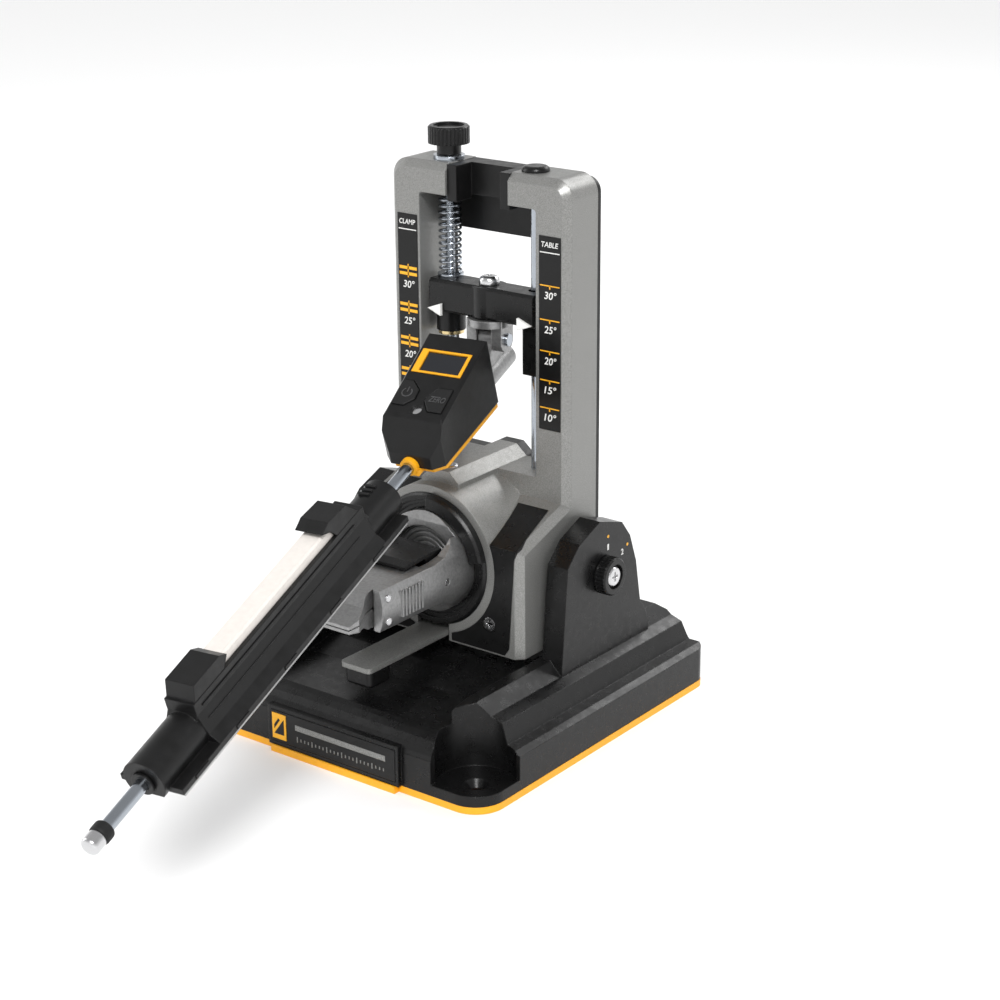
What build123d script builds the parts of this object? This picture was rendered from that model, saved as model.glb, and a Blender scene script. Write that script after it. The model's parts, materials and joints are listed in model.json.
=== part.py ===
from build123d import *
from math import cos, radians, sin
import os

# Guided-rod honing stand: a heavy base with two ears, an upright frame that
# tilts between them, a carriage raised by a thumb screw, a swivelling guide rod
# with a digital angle gauge and a stone holder, and a knife clamp that turns over.
# Millimetres. +Z up, +Y to the back, +X to the user's right, origin on the
# floor in the middle of the frame's front outline.

# ---------------------------------------------------------------- base
BASE_HALF = 73.75
BASE_FRONT = -98.0
BASE_REAR = 60.0
PLATE_TOP = 3.0            # top of the coloured bottom plate
SKIRT_TOP = 17.5
DECK_HALF = 52.0
DECK_TOP = 34.5
TROUGH_HALF = 46.6         # lower floor between the ears
NAME_HALF = 34.0           # name-plate block at the front
NAME_FRONT = -100.0
NAME_TOP = 20.3
POCKET_X = 62.0            # bench-screw pockets at the front corners
POCKET_Y = -86.5
POCKET_R = 16.0
POCKET_FLOOR = 7.5
BENCH_HOLE_R = 2.5
FRONT_CORNER_R = 13.0
REAR_CORNER_R = 6.0
BASE_WALL = 2.6
BASE_SCREWS = [(-40, -72), (40, -72), (-40, 38), (40, 38)]
FEET = [(-52, -62), (52, -62), (-60, 46), (60, 46)]
FOOT_R = 7.0
EAR_IN = 48.0
EAR_OUT = 58.0

# ---------------------------------------------------------------- frame
FRAME_HALF = 45.0
FRAME_TOP = 226.0
FRAME_BOTTOM = 36.0
FACE_Y = -3.2              # raised front face of the upright
CHIN_Y = -35.0             # front face of the lower housing
FRAME_REAR = 17.0
COVER_REAR = 22.0
WINDOW_HALF = 29.4
WINDOW_TOP = 213.2
SHELF_Z = 102.6
COVER_WINDOW_TOP = 196.0
NOTCH_HALF = 15.7
NOTCH_FLOOR = 211.0
TILT_Y = 5.0               # tilt axis of the frame
TILT_Z = 64.3
TILT_PIN_R = 3.0
HUB_Z = 70.5               # axis of the turning clamp
HUB_R = 31.5
COLLAR_R = 28.2
RUNNING = 0.05             # radial clearance of every running fit

# ---------------------------------------------------------------- elevator and carriage
COLUMN_X = 21.8            # lead screw at -X, guide column at +X
COLUMN_Y = 7.3
COLUMN_R = 2.0
BAR_HALF = 26.3
BAR_LOW = 164.0
BAR_TOP = 177.5
SWIVEL_Y = 5.0
SWIVEL_R = 2.5
PITCH_PIN_Z = 155.0
PITCH_PIN_R = 1.5

# ---------------------------------------------------------------- guide rod at rest
ROD_YAW = 8.63             # degrees the rod's front is swung toward +X
ROD_PITCH = 18.30          # degrees the rod slopes down toward the user
ROD_START_Z = 140.8        # where the rod's axis crosses the swivel axis
ROD_R = 2.5
ROD_END = 282.0
SENSOR_BACK = 18.6
SENSOR_HALF = 13.3
SENSOR_TOP = 29.0
SENSOR_WEDGE = 15.2        # degrees the display face drops toward the user
SLEEVE_R = 3.6
HOLDER_START = 90.3
HOLDER_END = 254.7
PLATE_START = 95.9
PLATE_END = 250.9
PLATE_HALF = 12.7
PLATE_UNDER = -6.2

# ---------------------------------------------------------------- clamp
FLANGE_R = 21.3
SHAFT_R = 8.0
ARM_OUT = 21.5
ARM_IN = 15.6
ARM_FRONT = -92.0
JAW_TIP = -113.0
JAW_HALF = 22.5
JAW_PIN_Y = -88.0
JAW_PIN_RISE = 4.8
CAM_Y = -52.0
TRIM_DEPTH = 1.4
COVER_SCREWS = [(-38, 46), (38, 46), (-38, 214), (38, 214)]
STRIP_LEFT = (-40.9, -30.6)      # clamp angle scale, inlaid left of the window
STRIP_LEFT_Z = (118.0, 203.4)
STRIP_RIGHT = (31.0, 41.6)       # table angle scale, right of the window
STRIP_RIGHT_Z = (124.0, 203.4)
LEVER_PIN_Y = -22.0
LEVER_PIN_Z = 40.0
LEVER_PIN_R = 1.2
SPRING_R = 4.4
SPRING_TURNS = 13
SPRING_PITCH = 2.57
POWER_SHAPE = ((-11.6, -26), (-7.5, -26), (-3.2, -30), (-3, -34.8), (-6.5, -38.4), (-11.6, -38.4))
ZERO_SHAPE = ((5, -27.8), (11.1, -27.8), (11.1, -39.8), (5, -39.8), (1.6, -35.2), (1.6, -33.2))
BUTTON_GAP = 0.3
SCREW_DOWN = 39.5
MAGNET_Y = (-110, -142, -174, -206, -238)

ROD_POSE = Pos(0, SWIVEL_Y, ROD_START_Z) * Rot(0, 0, ROD_YAW) * Rot(ROD_PITCH, 0, 0)
SWIVEL_POSE = Pos(0, SWIVEL_Y, 0) * Rot(0, 0, ROD_YAW)

os.makedirs("parts", exist_ok=True)


def save(label, part):
    part.label = label
    export_step(part, f"parts/{label}.step")


def facing_user(y):
    """Plane square to Y: sketch x is +X, sketch y is +Z, and extrude goes to the front."""
    return Plane(origin=(0, y, 0), x_dir=(1, 0, 0), z_dir=(0, -1, 0))


def side_plane(x):
    """Plane square to X: sketch x is +Y, sketch y is +Z, and extrude goes to +X."""
    return Plane(origin=(x, 0, 0), x_dir=(0, 1, 0), z_dir=(1, 0, 0))


def outline(*points, mode=Mode.ADD):
    """Closed face through points, for use inside a sketch."""
    Polygon(*points, align=None, mode=mode)


def slab(x0, x1, y0, y1, z0, z1, mode=Mode.ADD):
    """Box between two corners."""
    with Locations(((x0 + x1) / 2, (y0 + y1) / 2, (z0 + z1) / 2)):
        Box(x1 - x0, y1 - y0, z1 - z0, mode=mode)


def upright(x, y, z0, z1, radius, mode=Mode.ADD):
    """Cylinder along Z."""
    with Locations((x, y, (z0 + z1) / 2)):
        Cylinder(radius, z1 - z0, mode=mode)


def along_y(x, z, y0, y1, radius, mode=Mode.ADD):
    """Cylinder along Y."""
    with Locations((x, (y0 + y1) / 2, z)):
        Cylinder(radius, y1 - y0, rotation=(90, 0, 0), mode=mode)


def along_x(y, z, x0, x1, radius, mode=Mode.ADD):
    """Cylinder along X."""
    with Locations(((x0 + x1) / 2, y, z)):
        Cylinder(radius, x1 - x0, rotation=(0, 90, 0), mode=mode)


def cross_recess(plane, radius, depth):
    """Phillips recess cut into a screw head."""
    with BuildSketch(plane) as cross:
        Rectangle(radius * 1.3, radius * 0.3)
        Rectangle(radius * 0.3, radius * 1.3)
    extrude(cross.sketch, amount=-depth, mode=Mode.SUBTRACT)


# ================================================================ base
def base_corner_pocket(side):
    """Scalloped pocket open toward the corner, with its countersunk bench hole."""
    upright(side * POCKET_X, POCKET_Y, POCKET_FLOOR, DECK_TOP + 1, POCKET_R, Mode.SUBTRACT)
    x0, x1 = sorted((side * POCKET_X, side * (BASE_HALF + 1)))
    slab(x0, x1, BASE_FRONT - 1, POCKET_Y + 12.5, POCKET_FLOOR, DECK_TOP + 1, Mode.SUBTRACT)
    x0, x1 = sorted((side * (POCKET_X - 13.5), side * (BASE_HALF + 1)))
    slab(x0, x1, BASE_FRONT - 1, POCKET_Y, POCKET_FLOOR, DECK_TOP + 1, Mode.SUBTRACT)


def build_cavity():
    """Space inside the moulded base, with posts and pocket walls left standing."""
    with BuildPart() as cavity:
        with BuildSketch(facing_user(BASE_REAR - BASE_WALL)):
            outline((-71, 2), (-71, 15), (-62, 15), (-59.5, 23.5), (59.5, 23.5), (62, 15), (71, 15), (71, 2))
        extrude(amount=BASE_REAR - BASE_FRONT - 2 * BASE_WALL - 1)
        for side in (-1, 1):
            upright(side * POCKET_X, POCKET_Y, 0, 40, POCKET_R + BASE_WALL, Mode.SUBTRACT)
            slab(*sorted((side * 46, side * 75)), BASE_FRONT, POCKET_Y, 0, 40, Mode.SUBTRACT)
            slab(*sorted((side * 60, side * 75)), BASE_FRONT, POCKET_Y + 15, 0, 40, Mode.SUBTRACT)
            slab(*sorted((side * 22, side * 24.5)), BASE_FRONT, BASE_REAR, 8, 40, Mode.SUBTRACT)
        for x, y in BASE_SCREWS:
            upright(x, y, 0, 40, 4.5, Mode.SUBTRACT)
        slab(-72, 72, -16, -13.5, 8, 40, Mode.SUBTRACT)
        slab(-72, 72, BASE_FRONT, -84, 15, 40, Mode.SUBTRACT)
    return cavity.part


with BuildPart() as base_shell:
    with BuildSketch(facing_user(BASE_REAR)):
        outline(
            (-73.6, PLATE_TOP), (-73.5, SKIRT_TOP), (-70.5, 18.7), (-65.3, 18.8), (-62.5, 27), (-57.4, 29),
            (-DECK_HALF, DECK_TOP), (DECK_HALF, DECK_TOP), (57.4, 29), (62.5, 27), (65.3, 18.8),
            (70.5, 18.7), (73.5, SKIRT_TOP), (73.6, PLATE_TOP),
        )
    extrude(amount=BASE_REAR - BASE_FRONT)
    with BuildSketch(side_plane(-BASE_HALF - 1)):
        outline(
            (BASE_FRONT, PLATE_TOP), (BASE_FRONT, 17), (-97.4, 19.4), (-96, 22), (-94, 24.2), (-91.2, 25.9),
            (-88, 27.4), (-85, 30.6), (-80, 33.2), (-72, DECK_TOP), (52, DECK_TOP), (56.5, 31), (58.5, 21), (BASE_REAR, 17),
            (BASE_REAR, PLATE_TOP),
        )
    extrude(amount=2 * BASE_HALF + 2, mode=Mode.INTERSECT)
    slab(-73.6, 73.6, BASE_FRONT, BASE_REAR, PLATE_TOP, SKIRT_TOP)
    with BuildSketch() as plan:
        with Locations((0, (BASE_FRONT + BASE_REAR) / 2)):
            Rectangle(2 * BASE_HALF - 0.3, BASE_REAR - BASE_FRONT)
        fillet(plan.vertices().group_by(Axis.Y)[0], FRONT_CORNER_R)
        fillet(plan.vertices().group_by(Axis.Y)[-1], REAR_CORNER_R)
    extrude(amount=60, mode=Mode.INTERSECT)
    with BuildSketch(side_plane(-TROUGH_HALF)):
        outline((BASE_FRONT - 1, 27), (-60, 26.8), (-45, 29.5), (46, 29.5), (50, 36), (BASE_FRONT - 1, 36))
    extrude(amount=2 * TROUGH_HALF, mode=Mode.SUBTRACT)
    for side in (-1, 1):
        base_corner_pocket(side)
    slab(-NAME_HALF, NAME_HALF, NAME_FRONT, -92, PLATE_TOP, NAME_TOP)
    with BuildSketch(side_plane(EAR_IN)):
        outline(
            (-24.5, 33), (-23.9, 38.5), (-21.9, 61.8), (-20.6, 74.3), (-12.4, 82.4), (1.5, 88.1),
            (17.4, 83.3), (23.4, 75.8), (28.1, 63.2), (31.6, 44.1), (35.5, 39.6), (38, 33),
        )
    extrude(amount=EAR_OUT - EAR_IN)
    mirror(about=Plane.YZ)
    for side in (-1, 1):
        slab(*sorted((side * EAR_IN, side * EAR_OUT)), -24.5, 38, 26, 33.5)
    add(build_cavity(), mode=Mode.SUBTRACT)
    with Locations((-POCKET_X, POCKET_Y, POCKET_FLOOR), (POCKET_X, POCKET_Y, POCKET_FLOOR)):
        CounterSinkHole(BENCH_HOLE_R, 5.0, depth=POCKET_FLOOR)
    along_x(TILT_Y, TILT_Z, EAR_IN - 1, EAR_OUT + 1, TILT_PIN_R + RUNNING, Mode.SUBTRACT)
    along_x(TILT_Y, TILT_Z, -EAR_OUT - 1, -EAR_IN + 1, TILT_PIN_R, Mode.SUBTRACT)
    slab(-32.6, 32.6, NAME_FRONT - 1, NAME_FRONT + 0.8, 4.8, 18.6, Mode.SUBTRACT)
    for x, y in BASE_SCREWS:
        upright(x, y, PLATE_TOP, 16, 1.3, Mode.SUBTRACT)
save("base_shell", base_shell.part)

with BuildPart() as base_plate:
    slab(-BASE_HALF, BASE_HALF, BASE_FRONT, BASE_REAR, 0, PLATE_TOP)
    fillet(base_plate.edges().filter_by(Axis.Z).group_by(Axis.Y)[0], FRONT_CORNER_R)
    fillet(base_plate.edges().filter_by(Axis.Z).group_by(Axis.Y)[-1], REAR_CORNER_R)
    slab(-32.5, 32.5, NAME_FRONT - 0.7, -90, 0, PLATE_TOP)
    for x, y in FEET:
        upright(x, y, 0, 1.8, FOOT_R, Mode.SUBTRACT)
    with Locations((-POCKET_X, POCKET_Y), (POCKET_X, POCKET_Y)):
        Hole(BENCH_HOLE_R)
    for x, y in BASE_SCREWS:
        upright(x, y, 0, PLATE_TOP, 1.3, Mode.SUBTRACT)
        upright(x, y, 0, 1.6, 2.6, Mode.SUBTRACT)
save("base_plate", base_plate.part)

with BuildPart() as rubber_feet:
    for x, y in FEET:
        upright(x, y, 0, 1.8, FOOT_R)
save("rubber_feet", rubber_feet.part)

with BuildPart() as base_screws:
    for x, y in BASE_SCREWS:
        upright(x, y, 0.8, 1.6, 2.6)
        upright(x, y, 1.6, 14, 1.3)
save("base_screws", base_screws.part)

with BuildPart() as front_badge:
    slab(-32.4, 32.4, NAME_FRONT - 0.1, NAME_FRONT + 0.8, 5.0, 18.4)
    slab(-31.6, -24.2, NAME_FRONT - 0.2, NAME_FRONT + 0.3, 6.2, 17.4, Mode.SUBTRACT)
save("front_badge", front_badge.part)

with BuildPart() as badge_tile:
    slab(-31.6, -24.2, NAME_FRONT - 0.3, NAME_FRONT + 0.3, 6.2, 17.4)
save("badge_tile", badge_tile.part)

with BuildPart() as pivot_pin:
    along_x(TILT_Y, TILT_Z, -EAR_OUT, -38.3, TILT_PIN_R)
    along_x(TILT_Y, TILT_Z, -EAR_OUT - 2.2, -EAR_OUT, 7.0)
    chamfer(pivot_pin.edges().group_by(Axis.X)[0], 0.8)
save("pivot_pin", pivot_pin.part)

with BuildPart() as pivot_washers:
    for side in (-1, 1):
        along_x(TILT_Y, TILT_Z, *sorted((side * (FRAME_HALF + 0.1), side * EAR_IN)), 9.5)
        along_x(TILT_Y, TILT_Z, *sorted((side * FRAME_HALF, side * (EAR_IN + 0.1))), TILT_PIN_R + RUNNING, Mode.SUBTRACT)
save("pivot_washers", pivot_washers.part)

with BuildPart() as tilt_knob:
    along_x(TILT_Y, TILT_Z, EAR_OUT + 0.3, EAR_OUT + 5.5, 8.0)
    chamfer(tilt_knob.edges().group_by(Axis.X)[-1], 0.7)
    with BuildSketch(side_plane(EAR_OUT + 1.2)):
        with Locations((TILT_Y, TILT_Z)):
            with PolarLocations(8.15, 30):
                Circle(0.45)
    extrude(amount=5, mode=Mode.SUBTRACT)
    along_x(TILT_Y, TILT_Z, EAR_OUT + 3.7, EAR_OUT + 6, 5.2, Mode.SUBTRACT)
    along_x(TILT_Y, TILT_Z, EAR_OUT, EAR_OUT + 4, TILT_PIN_R, Mode.SUBTRACT)
save("tilt_knob", tilt_knob.part)

with BuildPart() as tilt_screw:
    along_x(TILT_Y, TILT_Z, 38.3, EAR_OUT + 3.7, TILT_PIN_R)
    along_x(TILT_Y, TILT_Z, EAR_OUT + 3.7, EAR_OUT + 5.3, 4.2)
    chamfer(tilt_screw.edges().group_by(Axis.X)[-1], 0.6)
    cross_recess(Plane(origin=(EAR_OUT + 5.3, TILT_Y, TILT_Z), x_dir=(0, 1, 0), z_dir=(1, 0, 0)), 3.0, 1.0)
save("tilt_screw", tilt_screw.part)


# ================================================================ frame
def trim_panel(side, depth):
    """Inlay beside the clamp hub: over the sloping brow and down the chin."""
    with BuildPart() as panel:
        with BuildSketch(side_plane(0)):
            outline(
                (-8.2, 91.8), (CHIN_Y, 82.7), (CHIN_Y, 36.8), (CHIN_Y + depth, 36.8),
                (CHIN_Y + depth, 82.0), (-8.2 + depth * 0.3, 91.8 - depth * 0.95),
            )
        extrude(amount=44)
        with BuildSketch(facing_user(0)):
            outline((9.8, 36.8), (37.1, 36.8), (39.2, 40), (41.9, 79), (42.9, 82.7), (38, 95), (9.8, 95))
        extrude(amount=40, mode=Mode.INTERSECT)
        along_y(0, HUB_Z, -40, 20, HUB_R + 0.6, Mode.SUBTRACT)
    part = panel.part
    return part if side > 0 else mirror(part, about=Plane.YZ)


def lower_pocket():
    """Space behind the hub inside the lower housing."""
    with BuildPart() as pocket:
        with BuildSketch(side_plane(-41)):
            outline((18, 40), (18, 96), (0.5, 96), (0.5, 90), (-26, 81), (-26, 40))
        extrude(amount=82)
        along_y(0, HUB_Z, -30, 20, 17, Mode.SUBTRACT)
        for x in (-41, 35):
            along_x(TILT_Y, TILT_Z, x, x + 6, 9, Mode.SUBTRACT)
        for x in (-COLUMN_X, COLUMN_X):
            upright(x, COLUMN_Y, 90, 100, 6, Mode.SUBTRACT)
    return pocket.part


with BuildPart() as frame_casting:
    with BuildSketch(side_plane(-FRAME_HALF)):
        outline(
            (FRAME_REAR, FRAME_BOTTOM), (FRAME_REAR, FRAME_TOP), (FACE_Y, FRAME_TOP),
            (FACE_Y, 93.5), (CHIN_Y, 82.7), (CHIN_Y, FRAME_BOTTOM),
        )
    extrude(amount=2 * FRAME_HALF)
    top_corners = frame_casting.edges().filter_by(Axis.Y).group_by(Axis.Z)[-1]
    fillet(top_corners, 8)
    rim = [
        e for e in frame_casting.edges()
        if e.center().Y < FACE_Y + 0.1 and (abs(e.center().X) > 38 or e.center().Z > FRAME_TOP - 0.1)
        and e.center().Z > FRAME_BOTTOM + 1
    ]
    chamfer(rim, 3)
    along_y(0, HUB_Z, CHIN_Y, FRAME_REAR, HUB_R)
    with BuildSketch(facing_user(FRAME_REAR)):
        outline((-9.6, 100), (-9.6, SHELF_Z), (-4.5, 107), (4.5, 107), (9.6, SHELF_Z), (9.6, 100))
    extrude(amount=FRAME_REAR + 29)
    with BuildSketch(facing_user(FRAME_REAR + 1)):
        with Locations((0, (SHELF_Z + WINDOW_TOP) / 2)):
            RectangleRounded(2 * WINDOW_HALF, WINDOW_TOP - SHELF_Z, 1.5)
        outline((-9.6, 102), (-9.6, SHELF_Z), (-4.5, 107), (4.5, 107), (9.6, SHELF_Z), (9.6, 102), mode=Mode.SUBTRACT)
    extrude(amount=FRAME_REAR + 40, mode=Mode.SUBTRACT)
    slab(-NOTCH_HALF, NOTCH_HALF, FACE_Y - 1, FRAME_REAR + 1, NOTCH_FLOOR, FRAME_TOP + 1, Mode.SUBTRACT)
    add(lower_pocket(), mode=Mode.SUBTRACT)
    for x0, x1 in ((-11.4, -8.4), (8.4, 11.4)):
        along_x(LEVER_PIN_Y, LEVER_PIN_Z, x0, x1, 4)
    slab(-8.2, 8.2, CHIN_Y - 1, -16, FRAME_BOTTOM - 1, 44, Mode.SUBTRACT)
    along_x(LEVER_PIN_Y, LEVER_PIN_Z, -11.4, 11.4, LEVER_PIN_R, Mode.SUBTRACT)
    along_y(0, HUB_Z, CHIN_Y - 1, -30, COLLAR_R, Mode.SUBTRACT)
    along_y(0, HUB_Z, CHIN_Y, FRAME_REAR, SHAFT_R + RUNNING, Mode.SUBTRACT)
    along_y(0, HUB_Z, 12, FRAME_REAR + 1, 12.5, Mode.SUBTRACT)
    for side in (-1, 1):
        add(trim_panel(side, TRIM_DEPTH), mode=Mode.SUBTRACT)
        along_x(TILT_Y, TILT_Z, *sorted((side * 38.2, side * (FRAME_HALF + 1))), TILT_PIN_R + RUNNING, Mode.SUBTRACT)
    upright(-COLUMN_X, COLUMN_Y, 98, FRAME_TOP + 1, COLUMN_R + RUNNING, Mode.SUBTRACT)
    upright(COLUMN_X, COLUMN_Y, 98, FRAME_TOP + 1, COLUMN_R, Mode.SUBTRACT)
    slab(*STRIP_LEFT, FACE_Y - 1, FACE_Y + 0.8, *STRIP_LEFT_Z, Mode.SUBTRACT)
    slab(*STRIP_RIGHT, FACE_Y - 1, FACE_Y + 0.8, *STRIP_RIGHT_Z, Mode.SUBTRACT)
    upright(0, -22, 104, 110, 3.4, Mode.SUBTRACT)
save("frame_casting", frame_casting.part)

with BuildPart() as trim_panels:
    for side in (-1, 1):
        add(trim_panel(side, TRIM_DEPTH))
        along_y(side * 29.1, 48.6, CHIN_Y - 1, CHIN_Y + 0.9, 3.0, Mode.SUBTRACT)
save("trim_panels", trim_panels.part)

with BuildPart() as rear_cover:
    slab(-44, 44, FRAME_REAR, COVER_REAR, 38, 224)
    fillet(rear_cover.edges().filter_by(Axis.Y), 6)
    chamfer(rear_cover.faces().sort_by(Axis.Y)[-1].edges(), 1.5)
    with BuildSketch(facing_user(COVER_REAR + 1)):
        outline(
            (-WINDOW_HALF, SHELF_Z), (-9.6, SHELF_Z), (-4.5, 107), (4.5, 107), (9.6, SHELF_Z),
            (WINDOW_HALF, SHELF_Z), (WINDOW_HALF, COVER_WINDOW_TOP), (-WINDOW_HALF, COVER_WINDOW_TOP),
        )
    extrude(amount=COVER_REAR - FRAME_REAR + 2, mode=Mode.SUBTRACT)
    for x, z in COVER_SCREWS:
        along_y(x, z, FRAME_REAR - 1, COVER_REAR + 1, 1.5, Mode.SUBTRACT)
        along_y(x, z, COVER_REAR - 1.4, COVER_REAR + 1, 3.0, Mode.SUBTRACT)
save("rear_cover", rear_cover.part)

with BuildPart() as frame_screws:
    for side in (-1, 1):
        along_y(side * 29.1, 48.6, CHIN_Y + 0.1, CHIN_Y + 0.9, 2.9)
        cross_recess(Plane(origin=(side * 29.1, CHIN_Y + 0.1, 48.6), x_dir=(1, 0, 0), z_dir=(0, -1, 0)), 2.4, 0.6)
    for x, z in COVER_SCREWS:
        along_y(x, z, FRAME_REAR, COVER_REAR - 1.4, 1.5)
        along_y(x, z, COVER_REAR - 1.4, COVER_REAR - 0.2, 2.9)
        cross_recess(Plane(origin=(x, COVER_REAR - 0.2, z), x_dir=(1, 0, 0), z_dir=(0, 1, 0)), 2.2, 0.7)
    upright(0, -22, 104, 107.6, 3.3)
    fillet(frame_screws.edges().filter_by_position(Axis.Z, 107.5, 107.7), 1.0)
    cross_recess(Plane(origin=(0, -22, 107.6), x_dir=(1, 0, 0), z_dir=(0, 0, 1)), 2.4, 0.8)
save("frame_screws", frame_screws.part)

with BuildPart() as notch_liner:
    slab(-NOTCH_HALF, NOTCH_HALF, 8, FRAME_REAR, WINDOW_TOP - 0.7, FRAME_TOP - 0.3)
    for x0, x1 in ((-NOTCH_HALF, -11), (11, NOTCH_HALF)):
        slab(x0, x1, FACE_Y + 1.2, 8, NOTCH_FLOOR, FRAME_TOP - 0.3)
save("notch_liner", notch_liner.part)

with BuildPart() as clamp_scale:
    slab(*STRIP_LEFT, FACE_Y - 0.1, FACE_Y + 0.8, *STRIP_LEFT_Z)
save("clamp_scale", clamp_scale.part)

with BuildPart() as table_scale:
    slab(*STRIP_RIGHT, FACE_Y - 0.1, FACE_Y + 0.8, *STRIP_RIGHT_Z)
save("table_scale", table_scale.part)

with BuildPart() as collar_ring:
    with BuildSketch(side_plane(0)):
        outline(
            (-30, HUB_Z + 21.8), (-30, HUB_Z + COLLAR_R), (-35.4, HUB_Z + COLLAR_R), (-36.4, HUB_Z + 27.2),
            (-36.4, HUB_Z + 25.2), (-35.4, HUB_Z + 25.2), (-35.4, HUB_Z + 23.6), (-34.6, HUB_Z + 23.6),
            (-34.6, HUB_Z + 21.8),
        )
    revolve(axis=Axis((0, 0, HUB_Z), (0, 1, 0)))
    with BuildSketch(side_plane(0)):
        outline(
            (-34.6, HUB_Z + 22.3), (-34.6, HUB_Z + COLLAR_R), (-37.8, HUB_Z + COLLAR_R), (-38.8, HUB_Z + 27.2),
            (-38.8, HUB_Z + 22.3),
        )
    revolve(axis=Axis((0, 0, HUB_Z), (0, -1, 0)), revolution_arc=-80)
save("collar_ring", collar_ring.part)

with BuildPart() as guide_column:
    upright(COLUMN_X, COLUMN_Y, 98, FRAME_TOP, COLUMN_R)
save("guide_column", guide_column.part)

with BuildPart() as column_cap:
    upright(COLUMN_X, COLUMN_Y, FRAME_TOP, FRAME_TOP + 2.2, 5.7)
    fillet(column_cap.edges().group_by(Axis.Z)[-1], 2.0)
save("column_cap", column_cap.part)

with BuildPart() as knob_washer:
    upright(-COLUMN_X, COLUMN_Y, FRAME_TOP, FRAME_TOP + 1.8, 6.4)
    upright(-COLUMN_X, COLUMN_Y, FRAME_TOP, FRAME_TOP + 1.8, 2.4, Mode.SUBTRACT)
save("knob_washer", knob_washer.part)

with BuildPart() as lever_pin:
    along_x(LEVER_PIN_Y, LEVER_PIN_Z, -11.4, 11.4, LEVER_PIN_R)
save("lever_pin", lever_pin.part)

# ================================================================ clamp release lever
with BuildPart() as lever_plate:
    slab(-7.7, 7.7, -85, LEVER_PIN_Y, 38.3, 40.5)
    fillet(lever_plate.edges().filter_by(Axis.Z).group_by(Axis.Y)[0], 2.0)
    along_x(LEVER_PIN_Y, LEVER_PIN_Z, -7.7, 7.7, 3.2)
    along_x(LEVER_PIN_Y, LEVER_PIN_Z, -7.7, 7.7, LEVER_PIN_R + RUNNING, Mode.SUBTRACT)
save("lever_plate", lever_plate.part)

with BuildPart() as lever_pad:
    slab(-7.0, 7.0, -83.6, -70, 31, 38.3)
    fillet(lever_pad.edges().filter_by(Axis.Z), 2.5)
    fillet(lever_pad.edges().group_by(Axis.Z)[0], 1.5)
save("lever_pad", lever_pad.part)

# ================================================================ height screw
with BuildPart() as lead_screw:
    upright(-COLUMN_X, COLUMN_Y, 98.3, FRAME_TOP + 6, COLUMN_R)
save("lead_screw", lead_screw.part)

with BuildPart() as height_knob:
    upright(-COLUMN_X, COLUMN_Y, FRAME_TOP + 2.1, FRAME_TOP + 6.5, 5.0)
    upright(-COLUMN_X, COLUMN_Y, FRAME_TOP + 6.5, FRAME_TOP + 13.7, 8.5)
    chamfer(height_knob.edges().group_by(Axis.Z)[-1], 0.7)
    with BuildSketch(Plane.XY.offset(FRAME_TOP + 6)):
        with Locations((-COLUMN_X, COLUMN_Y)):
            with PolarLocations(8.6, 32):
                Circle(0.42)
    extrude(amount=9, mode=Mode.SUBTRACT)
    upright(-COLUMN_X, COLUMN_Y, FRAME_TOP + 12.7, FRAME_TOP + 14, 6.3, Mode.SUBTRACT)
    upright(-COLUMN_X, COLUMN_Y, FRAME_TOP, FRAME_TOP + 6, COLUMN_R, Mode.SUBTRACT)
save("height_knob", height_knob.part)

# ================================================================ carriage
with BuildPart() as crossbar:
    slab(-BAR_HALF, BAR_HALF, COLUMN_Y - 8.8, COLUMN_Y + 4.2, BAR_LOW, BAR_TOP)
    chamfer(crossbar.edges().filter_by(Axis.X), 1.2)
    upright(-COLUMN_X, COLUMN_Y, 155, BAR_LOW + 2, 6.1)
    upright(0, SWIVEL_Y, BAR_LOW + 0.4, BAR_TOP - 0.2, 7.2)
    upright(-COLUMN_X, COLUMN_Y, 154, 170, 4.2, Mode.SUBTRACT)
    upright(-COLUMN_X, COLUMN_Y, 160, 180, 2.6, Mode.SUBTRACT)
    upright(COLUMN_X, COLUMN_Y, 160, 180, 3.2, Mode.SUBTRACT)
    upright(0, SWIVEL_Y, 160, 180, SWIVEL_R + RUNNING, Mode.SUBTRACT)
save("crossbar", crossbar.part)

with BuildPart() as lead_nut:
    upright(-COLUMN_X, COLUMN_Y, 153.4, 155, 5.4)
    upright(-COLUMN_X, COLUMN_Y, 155, 170, 4.2)
    upright(-COLUMN_X, COLUMN_Y, 150, 171, COLUMN_R + RUNNING, Mode.SUBTRACT)
save("lead_nut", lead_nut.part)

with BuildPart() as column_bushing:
    slab(COLUMN_X - 4.3, COLUMN_X + 4.3, COLUMN_Y - 4.3, COLUMN_Y + 4.3, 142.8, BAR_LOW)
    chamfer(column_bushing.edges().filter_by(Axis.Z), 0.8)
    upright(COLUMN_X, COLUMN_Y, BAR_LOW, BAR_TOP - 1, 3.2)
    upright(COLUMN_X, COLUMN_Y, 140, 180, COLUMN_R + RUNNING, Mode.SUBTRACT)
save("column_bushing", column_bushing.part)

with BuildPart() as pointers:
    with BuildSketch(facing_user(COLUMN_Y - 8.8)):
        for side in (-1, 1):
            outline((side * BAR_HALF, 165.2), (side * 19.5, 162.6), (side * 19.5, 167.8))
    extrude(amount=1.4)
save("pointers", pointers.part)

with BuildPart() as spring_seat:
    upright(-COLUMN_X, COLUMN_Y, BAR_TOP, BAR_TOP + 1.2, 5.4)
    upright(-COLUMN_X, COLUMN_Y, BAR_TOP, BAR_TOP + 1.2, 2.6, Mode.SUBTRACT)
save("spring_seat", spring_seat.part)

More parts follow.
